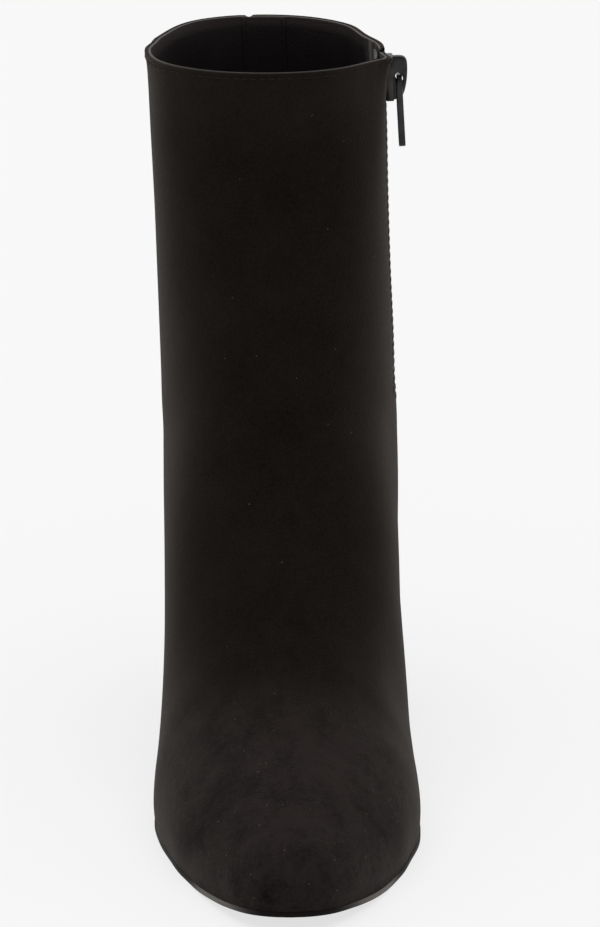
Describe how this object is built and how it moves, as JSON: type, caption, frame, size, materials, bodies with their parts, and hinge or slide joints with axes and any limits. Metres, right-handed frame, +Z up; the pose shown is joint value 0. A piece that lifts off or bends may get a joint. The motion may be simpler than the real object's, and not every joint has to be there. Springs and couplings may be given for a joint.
{
  "type": "bootie",
  "caption": "Women's right-foot suede ankle boot with a rounded almond toe, a covered block heel and a zip with a swinging pull tab on the inner side.",
  "frame": {"origin": "middle of the boot's box at the floor it stands on", "axes": "+Z up the shaft, -Y towards the toe, +X towards the inner (medial) side with the zip"},
  "size_m": [0.0863, 0.2265, 0.232],
  "materials": {
    "suede": "black suede with a soft nap",
    "lining": "smooth black-brown lining leather",
    "sole": "black sole with a burnished, glossy edge",
    "heel_cover": "black suede over the heel block",
    "top_piece": "matt black heel rubber",
    "woven": "black woven zip tape",
    "gunmetal": "dark gunmetal plating, satin"
  },
  "bodies": {
    "boot": {"upper": "suede", "insole": "lining", "outsole": "sole", "heel": "heel_cover", "heel_top_piece": "top_piece", "zip_tape": "woven", "zip_chain": "gunmetal", "zip_bottom_stop": "gunmetal", "zip_slider": "gunmetal"},
    "zip_pull": {"zip_pull": "gunmetal"}
  },
  "joints": [
    {"name": "pull_swing", "type": "hinge", "parent": "boot", "child": "zip_pull", "pos_m": [0.03812, 0.05114, 0.22209], "axis": [-0.0239, -0.9993, -0.028], "range_deg": [0, 165]}
  ]
}
